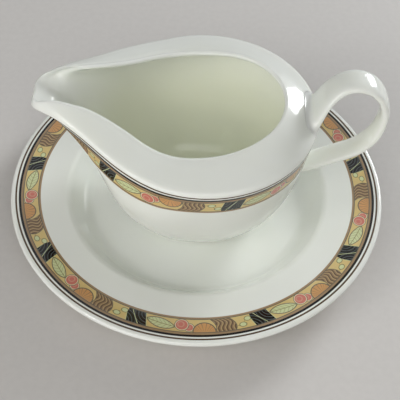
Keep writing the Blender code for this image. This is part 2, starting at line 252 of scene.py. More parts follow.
def evenly(points, count):
    """The same line with its points at even steps."""
    run = np.concatenate([[0.0], np.cumsum(np.linalg.norm(np.diff(points, axis=0), axis=1))])
    even = np.linspace(0.0, run[-1], count)
    return np.stack([np.interp(even, run, points[:, k]) for k in range(points.shape[1])], axis=1)


def outline():
    """Shoulder edge all the way round, counter-clockwise from the rear, with outward normals."""
    tip_centre = SPOUT_TIP_RADIUS - SPOUT_REACH
    between = BOWL_CENTRE_X - tip_centre
    to_bowl = FLANK_RADIUS - BOWL_RADIUS
    to_tip = FLANK_RADIUS - SPOUT_TIP_RADIUS
    along = (to_bowl**2 - to_tip**2 + between**2) / (2 * between)
    flank_x = BOWL_CENTRE_X - along
    flank_y = -math.sqrt(to_bowl**2 - along**2)
    leave = math.atan2(-flank_y, BOWL_CENTRE_X - flank_x)
    arrive = math.atan2(-flank_y, tip_centre - flank_x)
    arcs = (
        (BOWL_CENTRE_X, 0.0, BOWL_RADIUS, 0.0, leave, REAR_STEPS),
        (flank_x, flank_y, FLANK_RADIUS, leave, arrive, FLANK_STEPS),
        (tip_centre, 0.0, SPOUT_TIP_RADIUS, arrive, math.pi, TIP_STEPS),
    )
    points = []
    normals = []
    for centre_x, centre_y, radius, start, stop, steps in arcs:
        for angle in np.linspace(start, stop, steps, endpoint=False):
            points.append((centre_x + radius * math.cos(angle), centre_y + radius * math.sin(angle)))
            normals.append((math.cos(angle), math.sin(angle)))
    points.append((-SPOUT_REACH, 0.0))
    normals.append((-1.0, 0.0))
    points = np.array(points)
    normals = np.array(normals)
    phase = (points[:, 0] + SPOUT_REACH - FLANK_WAVE_START) / FLANK_WAVE_LENGTH
    swell = -FLANK_WAVE * np.sin(2 * math.pi * np.clip(phase, -0.25, 1.0))
    swell *= ease((points[:, 0] + SPOUT_REACH) / FLANK_WAVE_START * 2.0)
    facing = np.arctan2(normals[:, 1], normals[:, 0])
    corner = np.clip((facing - arrive) / (math.pi - arrive), 0.0, 1.0)
    swell += TIP_CORNER * np.sin(math.pi * corner)**2
    points = points + normals * swell[:, None]
    flip = np.array([1.0, -1.0])
    points = np.vstack([points, (points * flip)[-2:0:-1]])
    normals = np.vstack([normals, (normals * flip)[-2:0:-1]])
    return points, normals


def droop(x):
    """How far the spout's tip bends down: 0 behind it, growing toward the tip."""
    back = DROOP_LENGTH - SPOUT_REACH
    return np.clip((back - x) / DROOP_LENGTH, 0.0, DROOP_LIMIT)**2


def edge_height(x):
    rise = EDGE_SPOUT_RISE * ease((EDGE_RISE_START - x) / EDGE_RISE_LENGTH)
    return EDGE_HEIGHT + rise - EDGE_TIP_DROOP * droop(x)


def crest_height(x):
    mouth_rear_x = BOWL_CENTRE_X + BOWL_RADIUS - COLLAR_REAR
    peak_x = DROOP_LENGTH - SPOUT_REACH
    rear = (CREST_REAR - CREST_LOW) * ease((x - CREST_LOW_X) / (mouth_rear_x - CREST_LOW_X))
    front = (CREST_SPOUT - CREST_LOW) * ease((CREST_LOW_X - x) / (CREST_LOW_X - peak_x))
    return CREST_LOW + rear + front - CREST_TIP_DROOP * droop(x)


def collar_width(x):
    rear_x = BOWL_CENTRE_X + BOWL_RADIUS
    behind = np.clip((x - COLLAR_SIDE_X) / (rear_x - COLLAR_SIDE_X), 0.0, 1.0)
    width = COLLAR_SIDE - (COLLAR_SIDE - COLLAR_REAR) * behind**2
    ahead = ease((COLLAR_SIDE_X - x) / (COLLAR_SIDE_X - COLLAR_FLANK_X))
    width = width - (COLLAR_SIDE - COLLAR_FLANK) * ahead
    tip = np.clip((COLLAR_FLANK_X - x) / (COLLAR_FLANK_X + SPOUT_REACH), 0.0, 1.0)
    return width - (COLLAR_FLANK - COLLAR_TIP) * tip**COLLAR_TIP_POWER


def edge_inset(width):
    return np.minimum(EDGE_ROUND, EDGE_ROUND_SHARE * width)


def collar_lines(points, normals):
    """Height of the shoulder edge, height of the crest and width of the collar between them."""
    width = collar_width(points[:, 0])
    crest_x = points[:, 0] - normals[:, 0] * width
    return edge_height(points[:, 0]), crest_height(crest_x), width


def round_boat(angle, rear, side, flank, tip):
    """Value that changes smoothly from rear to side to flank to the spout's tip."""
    turn = np.abs(angle)
    value = rear + (side - rear) * ease(turn / (0.5 * math.pi))
    value = value + (flank - side) * ease((turn - 0.5 * math.pi) / (FLANK_ANGLE - 0.5 * math.pi))
    return value + (tip - flank) * ease((turn - FLANK_ANGLE) / (math.pi - FLANK_ANGLE))


def softened(points):
    """The outline with its corners blurred away toward the spout."""
    closed = np.vstack([points, points[:1]])
    run = np.concatenate([[0.0], np.cumsum(np.linalg.norm(np.diff(closed, axis=0), axis=1))])
    even = np.linspace(0.0, run[-1], SOFT_POINTS + 1)
    flat = np.interp(even, run, closed[:, 0]) + 1j * np.interp(even, run, closed[:, 1])
    waves = np.fft.fftfreq(SOFT_POINTS, run[-1] / SOFT_POINTS)
    blur = np.exp(-2.0 * (math.pi * waves * BELLY_SOFTNESS)**2)
    flat = np.fft.ifft(np.fft.fft(flat[:-1]) * blur)
    flat = np.append(flat, flat[0])
    smooth = np.stack([np.interp(run[:-1], even, flat.real),
                       np.interp(run[:-1], even, flat.imag)], axis=1)
    turn = np.abs(np.arctan2(points[:, 1], points[:, 0] - BOWL_CENTRE_X))
    share = ease((turn - SOFT_ANGLE) / SOFT_TURN)
    return points + share[:, None] * (smooth - points)


def belly(points, level, grow=0.0):
    """Ring of the belly at a level from 0 at the foot to 1 at the shoulder edge, grown outward."""
    angle = np.arctan2(points[:, 1], points[:, 0] - BOWL_CENTRE_X)
    fullness = round_boat(angle, REAR_FULLNESS, SIDE_FULLNESS, SPOUT_FULLNESS, SPOUT_FULLNESS)
    lean = round_boat(angle, REAR_LEAN, SIDE_LEAN, FLANK_LEAN, TIP_LEAN)
    spread = (1.0 - lean) * (1.0 - (1.0 - level)**fullness) + lean * level
    soft = ease((1.0 - level) / SOFT_DEPTH)
    widen = FLARE_WIDEN * soft
    flare = TIP_FLARE * ease((FLARE_START + widen - points[:, 0]) / (FLARE_LENGTH + widen))
    spread = (1.0 - flare) * spread + flare * level**FLARE_POWER
    foot_x = FOOT_CENTRE_X + FOOT_HALF_LENGTH * np.cos(angle)
    foot_y = FOOT_HALF_WIDTH * np.sin(angle)
    top = edge_height(points[:, 0]) - edge_inset(collar_width(points[:, 0]))
    plan = points + (softened(points) - points) * soft
    x = foot_x + (plan[:, 0] - foot_x) * spread
    y = foot_y + (plan[:, 1] - foot_y) * spread
    z = BELLY_BASE + (top - BELLY_BASE) * level
    surface = np.stack([x, y, z], axis=1)
    if grow == 0.0:
        return surface
    up = belly(points, min(level + SLOPE_STEP, 1.0)) - belly(points, max(level - SLOPE_STEP, 0.0))
    ring = belly(points, max(level, SLOPE_STEP))
    around = np.roll(ring, -1, axis=0) - np.roll(ring, 1, axis=0)
    normal = np.cross(around, up)
    return surface + grow * normal / np.linalg.norm(normal, axis=1)[:, None]


def collar_ring(points, normals, inward, height):
    return np.column_stack([points - normals * inward[:, None], height])


def foot_ring(points, inset, height):
    angle = np.arctan2(points[:, 1], points[:, 0] - BOWL_CENTRE_X)
    x = FOOT_CENTRE_X + (FOOT_HALF_LENGTH - inset) * np.cos(angle)
    y = (FOOT_HALF_WIDTH - inset) * np.sin(angle)
    return np.column_stack([x, y, np.full(len(x), height)])


def outer_rings(points, normals):
    """Rings of the boat's outside up to the crest, and how many of them lead up to the edge."""
    edge, crest, width = collar_lines(points, normals)
    rings = [foot_ring(points, inset, height) for inset, height in FOOT_SECTION]
    rings += [belly(points, level) for level in OUTER_LEVELS]
    below = len(rings)
    inset = edge_inset(width)
    nip = EDGE_NIP_SHARE * inset
    rings.append(collar_ring(points, normals, nip, edge - nip))
    for share in COLLAR_SHARES:
        inward = inset + (width - inset) * share
        crown = COLLAR_CROWN * 4 * share * (1 - share)
        rings.append(collar_ring(points, normals, inward, edge + (crest - edge) * inward / width + crown))
    before = np.minimum(LIP_START * LIP_ROUND, LIP_START_SHARE * width)
    rings.append(collar_ring(points, normals, width - before, crest - LIP_SLOPE * before))
    rings.append(collar_ring(points, normals, width, crest))
    return rings, below


def inner_rings(points, normals):
    """Rings over the lip, under the collar and down the inside to the floor."""
    edge, crest, width = collar_lines(points, normals)
    over = [collar_ring(points, normals, width + past * LIP_ROUND, crest - down * LIP_ROUND)
            for past, down in LIP_INSIDE]
    # 1 where the collar is no wider than the wall, 0 from three walls on.
    narrow = np.clip(1.5 - 0.5 * width / WALL, 0.0, 1.0)
    for share, start, depth in UNDER_COLLAR:
        inward = WALL + start + np.maximum(width - WALL, 0.0) * share
        rise = (crest - edge) * np.minimum(inward / width, 1.0)
        sink = WALL * (depth + NARROW_COLLAR_SINK * (1.0 - share) * narrow)
        over.append(collar_ring(points, normals, inward, edge + rise - sink))
    # Near the tip there is no collar to go under, so these rings follow the belly instead.
    roll = ease((ROLL_START - points[:, 0]) / ROLL_LENGTH)[:, None]
    rings = [ring + roll * (belly(points, level, -WALL) - ring) for ring, level in zip(over, ROLLED_LEVELS)]
    rings += [belly(points, level, -WALL) for level in INNER_LEVELS]
    floor = BELLY_BASE + FLOOR_THICKNESS
    rings += [foot_ring(points, inset, floor + rise) for inset, rise in FLOOR_SECTION]
    return rings


def refined(rings, parts):
    """More rings between those given, on smooth curves through them."""
    rings = np.array(rings)
    first = 2 * rings[:1] - rings[1:2]
    last = 2 * rings[-1:] - rings[-2:-1]
    padded = np.concatenate([first, rings, last])
    gaps = np.maximum(np.linalg.norm(np.diff(padded, axis=0), axis=2), LEAST_GAP)**0.5
    out = []
    for step in range(len(rings) - 1):
        a, b, c, d = padded[step:step + 4]
        g0, g1, g2 = (gap[:, None] for gap in gaps[step:step + 3])
        for part in range(parts):
            t = g1 * part / parts
            ab = -t / g0 * a + (t + g0) / g0 * b
            bc = (g1 - t) / g1 * b + t / g1 * c
            cd = (g1 + g2 - t) / g2 * c + (t - g1) / g2 * d
            abc = (g1 - t) / (g0 + g1) * ab + (t + g0) / (g0 + g1) * bc
            bcd = (g1 + g2 - t) / (g1 + g2) * bc + t / (g1 + g2) * cd
            out.append((g1 - t) / g1 * abc + t / g1 * bcd)
    out.append(rings[-1])
    return out


def eased(rings, first):
    """The rings with the spout's inside smoothed; it sets in over some rings after the first one."""
    rings = np.array(rings)
    share = ease((EASE_START - rings[1:-1, :, 0]) / EASE_LENGTH)
    share *= np.clip((np.arange(1, len(rings) - 1) - first) / EASE_RINGS, 0.0, 1.0)[:, None]
    for _ in range(EASE_PASSES):
        beside = np.roll(rings, 1, axis=1) + np.roll(rings, -1, axis=1)
        mean = 0.25 * (beside[1:-1] + rings[:-2] + rings[2:])
        rings[1:-1] += EASE_PACE * share[:, :, None] * (mean - rings[1:-1])
    return list(rings)


def skin(rings):
    """Vertices and faces of the surface through closed rings."""
    count = len(rings[0])
    vertices = np.concatenate(rings)
    faces = []
    for low in range(0, (len(rings) - 1) * count, count):
        for k in range(count):
            after = (k + 1) % count
            faces.append((low + k, low + after, low + count + after, low + count + k))
    return vertices, faces


def closed_piece(name, rings, finish, first_middle, last_middle, border=None):
    """Smooth closed mesh through rings and a middle at each end.

    The border gives the place in the print of each column and of each ring.
    """
    count = len(rings[0])
    vertices, faces = skin(rings)
    start = len(vertices)
    vertices = np.vstack([vertices, first_middle, last_middle])
    last = start - count
    for k in range(count):
        after = (k + 1) % count
        faces.append((start, after, k))
        faces.append((start + 1, last + k, last + after))
    mesh = bpy.data.meshes.new(name)
    mesh.from_pydata(vertices.tolist(), [], faces)
    mesh.shade_smooth()
    if border:
        along, down = border
        places = []
        for step in range(len(rings) - 1):
            for k in range(count):
                after = (k + 1) % count
                places += [(along[k], down[step][k]), (along[k + 1], down[step][after]),
                           (along[k + 1], down[step + 1][after]), (along[k], down[step + 1][k])]
        # Each face of the two end fans takes one single place.
        for k in range(count):
            places += [(along[k], down[0][k])] * 3 + [(along[k], down[-1][k])] * 3
        mesh.uv_layers.new(name="print").uv.foreach_set("vector", np.array(places).ravel())
    mesh.materials.append(finish)
    piece = bpy.data.objects.new(name, mesh)
    bpy.context.collection.objects.link(piece)
    return piece


def round_corner(before, corner, after, radius, steps):
    """Points of an arc that rounds one corner of a profile."""
    corner = np.array(corner)
    back = np.array(before) - corner
    ahead = np.array(after) - corner
    back = back / np.linalg.norm(back)
    ahead = ahead / np.linalg.norm(ahead)
    half = 0.5 * math.acos(float(np.dot(back, ahead)))
    setback = radius / math.tan(half)
    middle = back + ahead
    centre = corner + middle / np.linalg.norm(middle) * radius / math.sin(half)
    first = corner + back * setback - centre
    last = corner + ahead * setback - centre
    turn = math.atan2(first[0] * last[1] - first[1] * last[0], float(np.dot(first, last)))
    out = []
    for angle in np.linspace(0.0, turn, steps):
        c, s = math.cos(angle), math.sin(angle)
        out.append((centre[0] + c * first[0] - s * first[1],
                    centre[1] + s * first[0] + c * first[1]))
    return out


def stand_profile():
    """Half section of the stand, from the middle of the underside round the rim to the middle."""
    shoulder_z = STAND_HEIGHT - FLANGE_FALL
    thick = STAND_THICKNESS
    slope = math.atan2(shoulder_z - WELL_FLOOR, SHOULDER_RADIUS - WELL_RADIUS)
    shift = thick * math.tan(slope / 2)
    under_floor = WELL_FLOOR - thick - WELL_EXTRA_THICKNESS
    inner_foot = STAND_FOOT_RADIUS - STAND_FOOT_WIDTH
    foot_root = (inner_foot, STAND_FOOT_HEIGHT)
    foot_inside = (inner_foot, 0.0)
    foot_outside = (STAND_FOOT_RADIUS, 0.0)
    beside_foot = (STAND_FOOT_RADIUS + STAND_FOOT_SPLAY, under_floor)
    spring = (WELL_RADIUS + shift, under_floor)
    under_shoulder = (SHOULDER_RADIUS + shift, shoulder_z - thick)
    under_rim = (STAND_RADIUS, STAND_HEIGHT - thick)
    rim = (STAND_RADIUS, STAND_HEIGHT)
    shoulder = (SHOULDER_RADIUS, shoulder_z)
    well_edge = (WELL_RADIUS, WELL_FLOOR)
    out = [(radius, STAND_FOOT_HEIGHT) for radius in UNDER_RADII]
    out += round_corner((0.0, STAND_FOOT_HEIGHT), foot_root, foot_inside,
                        STAND_FOOT_ROOT_ROUND, STAND_FOOT_STEPS)
    out += round_corner((inner_foot, STAND_HEIGHT), foot_inside, foot_outside,
                        STAND_FOOT_INNER_ROUND, STAND_FOOT_STEPS)
    out += round_corner(foot_inside, foot_outside, (STAND_FOOT_RADIUS, STAND_HEIGHT),
                        STAND_FOOT_OUTER_ROUND, STAND_FOOT_STEPS)
    out.append((STAND_FOOT_RADIUS + STAND_FOOT_WAIST_SPLAY, STAND_FOOT_WAIST_HEIGHT))
    out.append(beside_foot)
    out += round_corner(beside_foot, spring, under_shoulder, 0.5 * WELL_ROUND, UNDER_WELL_STEPS)
    out += round_corner(spring, under_shoulder, under_rim, SHOULDER_ROUND, SHOULDER_STEPS)
    half = 0.5 * thick
    for angle in np.linspace(*RIM_ARC, RIM_STEPS):
        out.append((STAND_RADIUS - half + half * math.cos(angle),
                    STAND_HEIGHT - half + half * math.sin(angle)))
    out += round_corner(rim, shoulder, well_edge, SHOULDER_ROUND, SHOULDER_STEPS)
    out += round_corner(shoulder, well_edge, (0.0, WELL_FLOOR), WELL_ROUND, WELL_STEPS)
    out += [(radius, WELL_FLOOR) for radius in FLOOR_RADII]
    return out


def strap_lines():
    """Lines along the strap's surface, from inside the collar round to inside the bowl."""
    rear_x = BOWL_CENTRE_X + BOWL_RADIUS
    stations = []
    for out, up in HANDLE_LINE:
        scale = HANDLE_RISE if up > 0 else HANDLE_DROP
        stations.append((rear_x + HANDLE_REACH * out, EDGE_HEIGHT + scale * up))
    path = curve_through(stations, STRAP_STEPS + 1)
    ahead = np.gradient(path, axis=0)
    ahead = ahead / np.linalg.norm(ahead, axis=1)[:, None]
    share = np.linspace(0.0, 1.0, STRAP_STEPS + 1)
    width = HANDLE_WIDTH_TOP + (HANDLE_WIDTH_LOW - HANDLE_WIDTH_TOP) * ease(share * TAPER_PACE)
    width = width + (HANDLE_WIDTH_ROOT - HANDLE_WIDTH_TOP) * (1.0 - ease(share * ROOT_WIDTH_PACE))
    root = ease(1.0 - np.minimum(share, 1.0 - share) * ROOT_THICKNESS_PACE)
    thick = HANDLE_THICKNESS + (HANDLE_ROOT_THICKNESS - HANDLE_THICKNESS) * root
    lines = []
    for k in range(STRAP_SIDES):
        angle = 2 * math.pi * k / STRAP_SIDES
        c, s = math.cos(angle), math.sin(angle)
        across = 0.5 * width * math.copysign(abs(c)**SECTION_POWER, c)
        out = 0.5 * thick * math.copysign(abs(s)**SECTION_POWER, s)
        lines.append(np.stack([path[:, 0] - ahead[:, 1] * out, across,
                               path[:, 1] + ahead[:, 0] * out], axis=1))
    return np.array(lines)


def meet(line, wall):
    """Where a line first enters the wall: the last step before it, and the point."""
    for step in range(len(line) - 1):
        start = Vector(line[step])
        way = Vector(line[step + 1]) - start
        hit, _, _, _ = wall.ray_cast(start, way.normalized(), way.length)
        if hit is not None:
            return step, np.array(hit)
    raise ValueError("the strap misses the boat")


def rooted(lines, wall, fillet):
    """Each line stopped short of the wall, and the points of its fillet down onto the wall."""
    end = lines[:, -1:]
    far = end + (end - lines[:, -1 - CARRY_STEPS:-CARRY_STEPS]) * CARRY
    lines = np.concatenate([lines, far], axis=1)
    stops = []
    fillets = []
    for k in range(len(lines)):
        line = lines[k]
        step, met = meet(line, wall)
        ring_way = lines[(k + 1) % len(lines)][step] - lines[k - 1][step]
        ahead = line[step + 1] - line[step]
        out = np.cross(ring_way, ahead)
        out = out / np.linalg.norm(out)
        middle = lines[:, step].mean(axis=0)
        if np.dot(out, line[step] - middle) < 0:
            out = -out
        _, normal, _, _ = wall.find_nearest(Vector(met))
        normal = np.array(normal)
        along_wall = out - normal * np.dot(out, normal)
        along_wall = along_wall / max(np.linalg.norm(along_wall), LEAST_LENGTH)
        foot, foot_normal, _, _ = wall.find_nearest(Vector(met + along_wall * fillet))
        foot = np.array(foot)
        kept = np.vstack([line[:step + 1], met])
        run = np.concatenate([[0.0], np.cumsum(np.linalg.norm(np.diff(kept, axis=0), axis=1))])
        stop = run[-1] - fillet
        start = np.array([np.interp(stop, run, kept[:, axis]) for axis in range(3)])
        stops.append(np.vstack([kept[run < stop], start]))
        t = np.linspace(0.0, 1.0, FILLET_STEPS + 1)[1:, None]
        curve = (1 - t)**2 * start + 2 * t * (1 - t) * met + t**2 * foot
        sunk = foot - np.array(foot_normal) * FILLET_SINK
        fillets.append(np.vstack([curve, sunk]))
    return stops, np.array(fillets)


def strap_rings(wall):
    """Rings of the strap from its top root to its low one, and the point that closes each root."""
    lines = strap_lines()
    half = STRAP_STEPS // 2
    top, top_fillets = rooted(lines[:, half::-1], wall, TOP_FILLET)
    low, low_fillets = rooted(lines[:, half:], wall, LOW_FILLET)
    columns = []
    for k in range(STRAP_SIDES):
        whole = np.vstack([top[k][::-1], low[k][1:]])
        columns.append(np.vstack([top_fillets[k][::-1], evenly(whole, STRAP_RINGS), low_fillets[k]]))
    rings = list(np.array(columns).transpose(1, 0, 2))
    middles = []
    for ring in (rings[0], rings[-1]):
        place, normal, _, _ = wall.find_nearest(Vector(ring.mean(axis=0)))
        middles.append(np.array(place) - np.array(normal) * ROOT_SINK)
    return rings, middles


# ---------------------------------------------------------------- finishes

def shade(red, green, blue):
    """Colour written as 0 to 255 on screen."""
    out = []
    for value in (red, green, blue):
        value = value / 255.0
        out.append(value / 12.92 if value <= 0.04045 else ((value + 0.055) / 1.055)**2.4)
    return (*out, 1.0)


class Tone:
    """A value or colour that changes from place to place. Arithmetic on it adds shader nodes."""

    def __init__(self, tree, socket=None):
        self.tree = tree
        self.socket = socket

    def node(self, kind, settings=None, sockets=None, result=0):
        """Any other node: its type, its settings, then the values or links of its sockets."""
        made = self.tree.nodes.new(kind)
        for name, value in (settings or {}).items():
            setattr(made, name, value)
        for name, value in (sockets or {}).items():
            if isinstance(value, Tone):
                self.tree.links.new(value.socket, made.inputs[name])
            else:
                made.inputs[name].default_value = value
        return Tone(self.tree, made.outputs[result] if made.outputs else None)

    def maths(self, operation, first, second=0.0):
        return self.node("ShaderNodeMath", {"operation": operation}, {0: first, 1: second})

    def __add__(self, other):
        return self.maths("ADD", self, other)

    def __sub__(self, other):
        return self.maths("SUBTRACT", self, other)

    def __rsub__(self, other):
        return self.maths("SUBTRACT", other, self)

    def __mul__(self, other):
        return self.maths("MULTIPLY", self, other)

    def __truediv__(self, other):
        return self.maths("DIVIDE", self, other)

    __radd__ = __add__
    __rmul__ = __mul__

    def size(self):
        return self.maths("ABSOLUTE", self)

    def part(self):
        """What it has above the whole number below it."""
        return self.maths("FRACT", self)

    def wave(self):
        return self.maths("SINE", self)

    def least(self, other):
        return self.maths("MINIMUM", self, other)

    def most(self, other):
        return self.maths("MAXIMUM", self, other)

    def axis(self, name):
        """One coordinate of a place."""
        return self.node("ShaderNodeSeparateXYZ", None, {"Vector": self}, name)

    def spread(self, low, high):
        """What ran from 0 to 1 runs from low to high."""
        return self.node("ShaderNodeMapRange", None, {"Value": self, "To Min": low, "To Max": high})

    def rising(self, start, stop):
        """0 at the start, 1 at the stop and a smooth step between them."""
        return self.node("ShaderNodeMapRange", {"interpolation_type": 'SMOOTHSTEP'},
                         {"Value": self, "From Min": start, "From Max": stop})

    def above(self, limit, soft=0.07):
        """1 where it is above the limit, 0 where it is below, with a soft edge."""
        return self.rising(limit - soft, limit + soft)

    def below(self, limit, soft=0.07):
        return self.node("ShaderNodeMapRange", {"interpolation_type": 'SMOOTHSTEP'},
                         {"Value": self, "From Min": limit - soft, "From Max": limit + soft,
                          "To Min": 1.0, "To Max": 0.0})

    def between(self, low, high, soft=0.07):
        return self.above(low, soft) * self.below(high, soft)

    def over(self, colour, ground):
        """The colour where this is 1, the ground where it is 0."""
        return self.node("ShaderNodeMix", {"data_type": 'RGBA'}, {0: self, 6: ground, 7: colour}, 2)


def blank(owner):
    """The emptied node tree of a material or world, to add nodes to."""
    owner.use_nodes = True
    owner.node_tree.nodes.clear()
    return Tone(owner.node_tree)


def reach(x, y):
    """How far a place is from the origin of x and y."""
    squares = x * x + y * y
    return squares.maths("SQRT", squares)


SAND = shade(214, 192, 132)
CREAM = shade(222, 218, 186)
INK = shade(20, 15, 12)
TAN = shade(160, 134, 102)
RIM_LINE = shade(86, 66, 44)
CONTOUR = shade(112, 106, 92)
OLIVE = shade(128, 124, 84)
LEAF = shade(206, 212, 166)
SALMON = shade(204, 126, 112)
APRICOT = shade(206, 158, 104)
UMBER = shade(152, 126, 98)
BARK = shade(104, 86, 68)
PETROL = shade(92, 102, 102)
BISCUIT = shade(206, 198, 184)

# Glaze and its warmer clouds, then painted light inside the boat: a lighter copy of the glaze, and a
# greener copy deep in the bowl as painted bounce light, all as linear values.
WHITE = (0.826, 0.848, 0.798, 1.0)
WARM = (0.816, 0.838, 0.780, 1.0)
INSIDE_PAINTED_LIGHT = (0.845, 0.868, 0.815, 1.0)
INSIDE_PAINTED_BOUNCE = (0.852, 0.874, 0.728, 1.0)

# Glaze: its patterns per metre, its roughness, and where it ends above the ground of a foot ring.
CLOUD_SCALE = 38.0
CLOUD_SOFT = 0.22
GRAIN_SCALE = 900.0
GLOSS = (0.07, 0.13)
DRY_ROUGHNESS = 0.5
GLAZE_END = 0.00035
GLAZE_END_SOFT = 0.00012
NO_FOOT = -1.0

# Printed border: repeats round each piece, and how far they are turned, the stand's in turns and
# the boat's in repeats. The stand's print is only on its top.
STAND_REPEATS = 9
STAND_TURN = 0.53
STAND_PRINT_ABOVE = 0.0168
STAND_PRINT_SOFT = 0.0004
BOAT_REPEATS = 6
BOAT_TURN = 0.2

# Its sizes in millimetres: the length of a repeat, the radius of its outer line on the stand, and
# each band's two edges, counted from that line.
MM = 1000.0
REPEAT = 66.0
STAND_LINE = 102.5
RIM_BAND = (0.0, 1.0)
INK_BAND = (1.95, 3.3)
TAN_BAND = (3.3, 14.1)
FRAME_BAND = (4.4, 13.1)
PICTURE_BAND = (4.9, 12.6)

# The motifs are drawn 8 mm high round this middle, and printed 7.7 mm high.
MIDLINE = 4.0
PICTURE_SCALE = 8.0 / 7.7

# Place and radius of each berry, and place of each seed pod.
BERRIES = ((33.4, 2.9, 2.1), (29.6, 4.4, 3.1))
PODS = ((61.2, 2.4), (64.4, 5.6))

# The boat's print map counts down from the shoulder edge, in metres. The inside counts from the
# crest and is set apart by a shift; the painted light of the inside starts in between, and its greener
# painted bounce light grows toward the floor.
INSIDE_SHIFT = 0.1
INSIDE_PAINTED_LIGHT_START = -0.07
INSIDE_PAINTED_LIGHT_SOFT = 0.02
PAINTED_BOUNCE_RANGE = (-0.104, -0.160)


def motifs(x, y):
    """The printed figures: x runs along one repeat, y across the border, both in millimetres."""
    offset = y - MIDLINE
    middle = offset.size()
    picture = SAND

    # Lens-shaped leaf with a midrib and side veins, set aslant.
    leaf_x, slant = 18.6, 0.16
    bow, bow_centre = 11.6, 8.6
    vein_pitch, vein_slope = 2.3, 0.9
    across = offset + (x - leaf_x) * slant
    lens = reach(x - leaf_x, across - bow_centre).most(reach(x - leaf_x, across + bow_centre)) - bow
    veins = ((x + across.size() * vein_slope) / vein_pitch).part().between(0.43, 0.57, 0.05)
    leaf = (veins * 0.6).most(across.size().below(0.16)).over(OLIVE, LEAF)
    picture = lens.below(0.0).over(leaf, picture)
    picture = lens.size().below(0.24).over(CONTOUR, picture)

    # Two berries, one behind the other, each with a pale ring, a thin line and a soft blush.
    ring, line = 0.42, 0.72
    for centre_x, centre_y, radius in BERRIES:
        berry = reach(x - centre_x, y - centre_y)
        picture = berry.below(radius + ring).over(CREAM, picture)
        picture = berry.below(radius).over(SALMON, picture)
        blush = reach(x - centre_x + 0.5, y - centre_y - 0.4).between(radius * 0.45, radius * 0.6, 0.3)
        picture = (blush * 0.35).over(CREAM, picture)
        picture = berry.between(radius + ring, radius + line).over(CONTOUR, picture)

    # Scallop shell with ribs that spread from its hinge.
    shell_x, shell_y, hinge = 41.2, 0.4, 1.4
    shell_radius, shell_line, rib_spread = 5.4, 6.0, 2.6
    shell = reach(x - shell_x, y - shell_y)
    ribs = ((x - shell_x) / (y + hinge) * rib_spread).part().between(0.42, 0.58, 0.05) * 0.7
    picture = shell.below(shell_radius).over(ribs.over(CONTOUR, APRICOT), picture)
    picture = shell.between(shell_radius, shell_line).over(CONTOUR, picture)

    # Plume of waved reeds with curved ends.
    bend, lean, reed_pitch = 0.10, 0.25, 2.15
    plume = x + middle * middle * bend + y * lean
    groove = ((plume + (y * 0.75).wave() * 1.1) / reed_pitch).part()
    reeds = groove.between(0.30, 0.62, 0.08).over(BARK, UMBER)
    reeds = groove.between(0.02, 0.12, 0.05).over(SAND, reeds)
    picture = plume.between(48.4, 58.6).over(reeds, picture)
    picture = (plume - 53.5).size().between(5.0, 5.45).over(CONTOUR, picture)

    # Trailing stem with two seed pods.
    stem_x, stem_start, swing = 57.0, 58.4, 2.1
    stem = (offset + ((x - stem_x) * 0.62).wave() * swing).size().below(0.17) * x.above(stem_start)
    picture = stem.over(OLIVE, picture)
    for pod_x, pod_y in PODS:
        pod = reach((x - pod_x) * 0.75, y - pod_y)
        picture = pod.below(1.35).over(LEAF, picture)
        picture = pod.between(1.2, 1.55).over(OLIVE, picture)

    # Dark block of two fans with pale ribs, its ends cut aslant.
    block_x, block_half, block_line, rib_pitch = 5.6, 5.3, 5.62, 1.75
    left = reach(x + 1.5, y + 1.0)
    right = reach(x - 11.8, y - 8.2)
    lines = (left.least(right) / rib_pitch).part().between(0.40, 0.60, 0.06)
    seam = (left - right).size().below(0.3)
    dark = seam.over(LEAF, lines.over(PETROL, INK))
    block = (x - block_x + offset * 0.28).size()
    picture = block.below(block_half).over(dark, picture)
    return block.between(block_half, block_line).over(LEAF, picture)


def print_over(ground, distance, repeats_along, speckle):
    """The whole border: distance in millimetres from its outer line, and how many repeats along."""
    x = repeats_along.part() * REPEAT
    y = (distance - PICTURE_BAND[0]) * PICTURE_SCALE
    picture = speckle.node("ShaderNodeMix", {"data_type": 'RGBA', "blend_type": 'MULTIPLY'},
                           {0: 1.0, 6: motifs(x, y), 7: speckle.spread(0.9, 1.06)}, 2)
    border = distance.between(*TAN_BAND).over(TAN, ground)
    border = distance.between(*FRAME_BAND).over(CONTOUR, border)
    border = distance.between(*PICTURE_BAND).over(picture, border)
    border = distance.between(*INK_BAND).over(INK, border)
    return distance.between(*RIM_BAND).over(RIM_LINE, border)


def china(name, white, warm, footing, border=None):
    """Glazed china: a white body, a border under the glaze and a foot ring wiped dry."""
    material = bpy.data.materials.new(name)
    start = blank(material)
    place = start.node("ShaderNodeTexCoord", result="Object")
    cloud = start.node("ShaderNodeTexNoise", None,
                       {"Vector": place, "Scale": CLOUD_SCALE, "Detail": 3.0, "Roughness": 0.55})
    grain = start.node("ShaderNodeTexNoise", None,
                       {"Vector": place, "Scale": GRAIN_SCALE, "Detail": 2.0, "Roughness": 0.6})
    colour = cloud.above(0.5, CLOUD_SOFT).over(warm, white)
    if border:
        # For the boat the border also paints light onto the inside glaze: lighter, and greener toward the
        # floor.
        colour = border(start, place, colour, grain)
    dry = place.axis("Z").below(footing, GLAZE_END_SOFT)
    colour = dry.over(BISCUIT, colour)
    rough = cloud.spread(*GLOSS) + dry * DRY_ROUGHNESS
    ripple = start.node("ShaderNodeBump", None,
                        {"Strength": 0.12, "Distance": 0.0002, "Height": cloud})
    shader = start.node("ShaderNodeBsdfPrincipled", None,
                        {"Base Color": colour, "Roughness": rough, "Normal": ripple,
                         "IOR": 1.5, "Subsurface Weight": 0.5, "Subsurface Scale": 0.006,
                         "Subsurface Radius": (1.0, 0.98, 0.93)})
    start.node("ShaderNodeOutputMaterial", None, {"Surface": shader})
    return material


